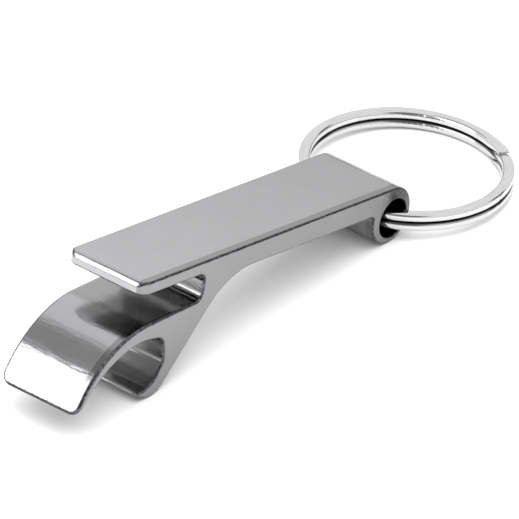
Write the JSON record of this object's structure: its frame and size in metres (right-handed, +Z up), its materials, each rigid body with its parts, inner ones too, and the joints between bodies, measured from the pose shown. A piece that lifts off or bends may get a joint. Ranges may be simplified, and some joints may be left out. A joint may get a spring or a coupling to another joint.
{
  "type": "keychain bottle opener",
  "caption": "One-piece opener with a cap mouth, a curved prying lever, a can-tab claw and an eyelet that carries a split key ring.",
  "frame": {"origin": "middle of the bounding box's underside, on the surface that the opener and the ring rest on", "axes": "+X from the lever's tip towards the key ring, +Z up; the opener rests on its claw and its eyelet with the plate's front raised"},
  "size_m": [0.0791, 0.0248, 0.0156],
  "materials": {
    "extrusion": "smooth satin-polished aluminium",
    "ring_wire": "bright nickel-plated steel wire"
  },
  "bodies": {
    "opener": {"opener_body": "extrusion"},
    "key_ring": {"split_ring": "ring_wire"}
  },
  "joints": [
    {"name": "ring_swing", "type": "hinge", "parent": "opener", "child": "key_ring", "pos_m": [0.01654, -0.001, 0.00302], "axis": [0, -1, 0], "range_deg": [-184, 158]}
  ]
}
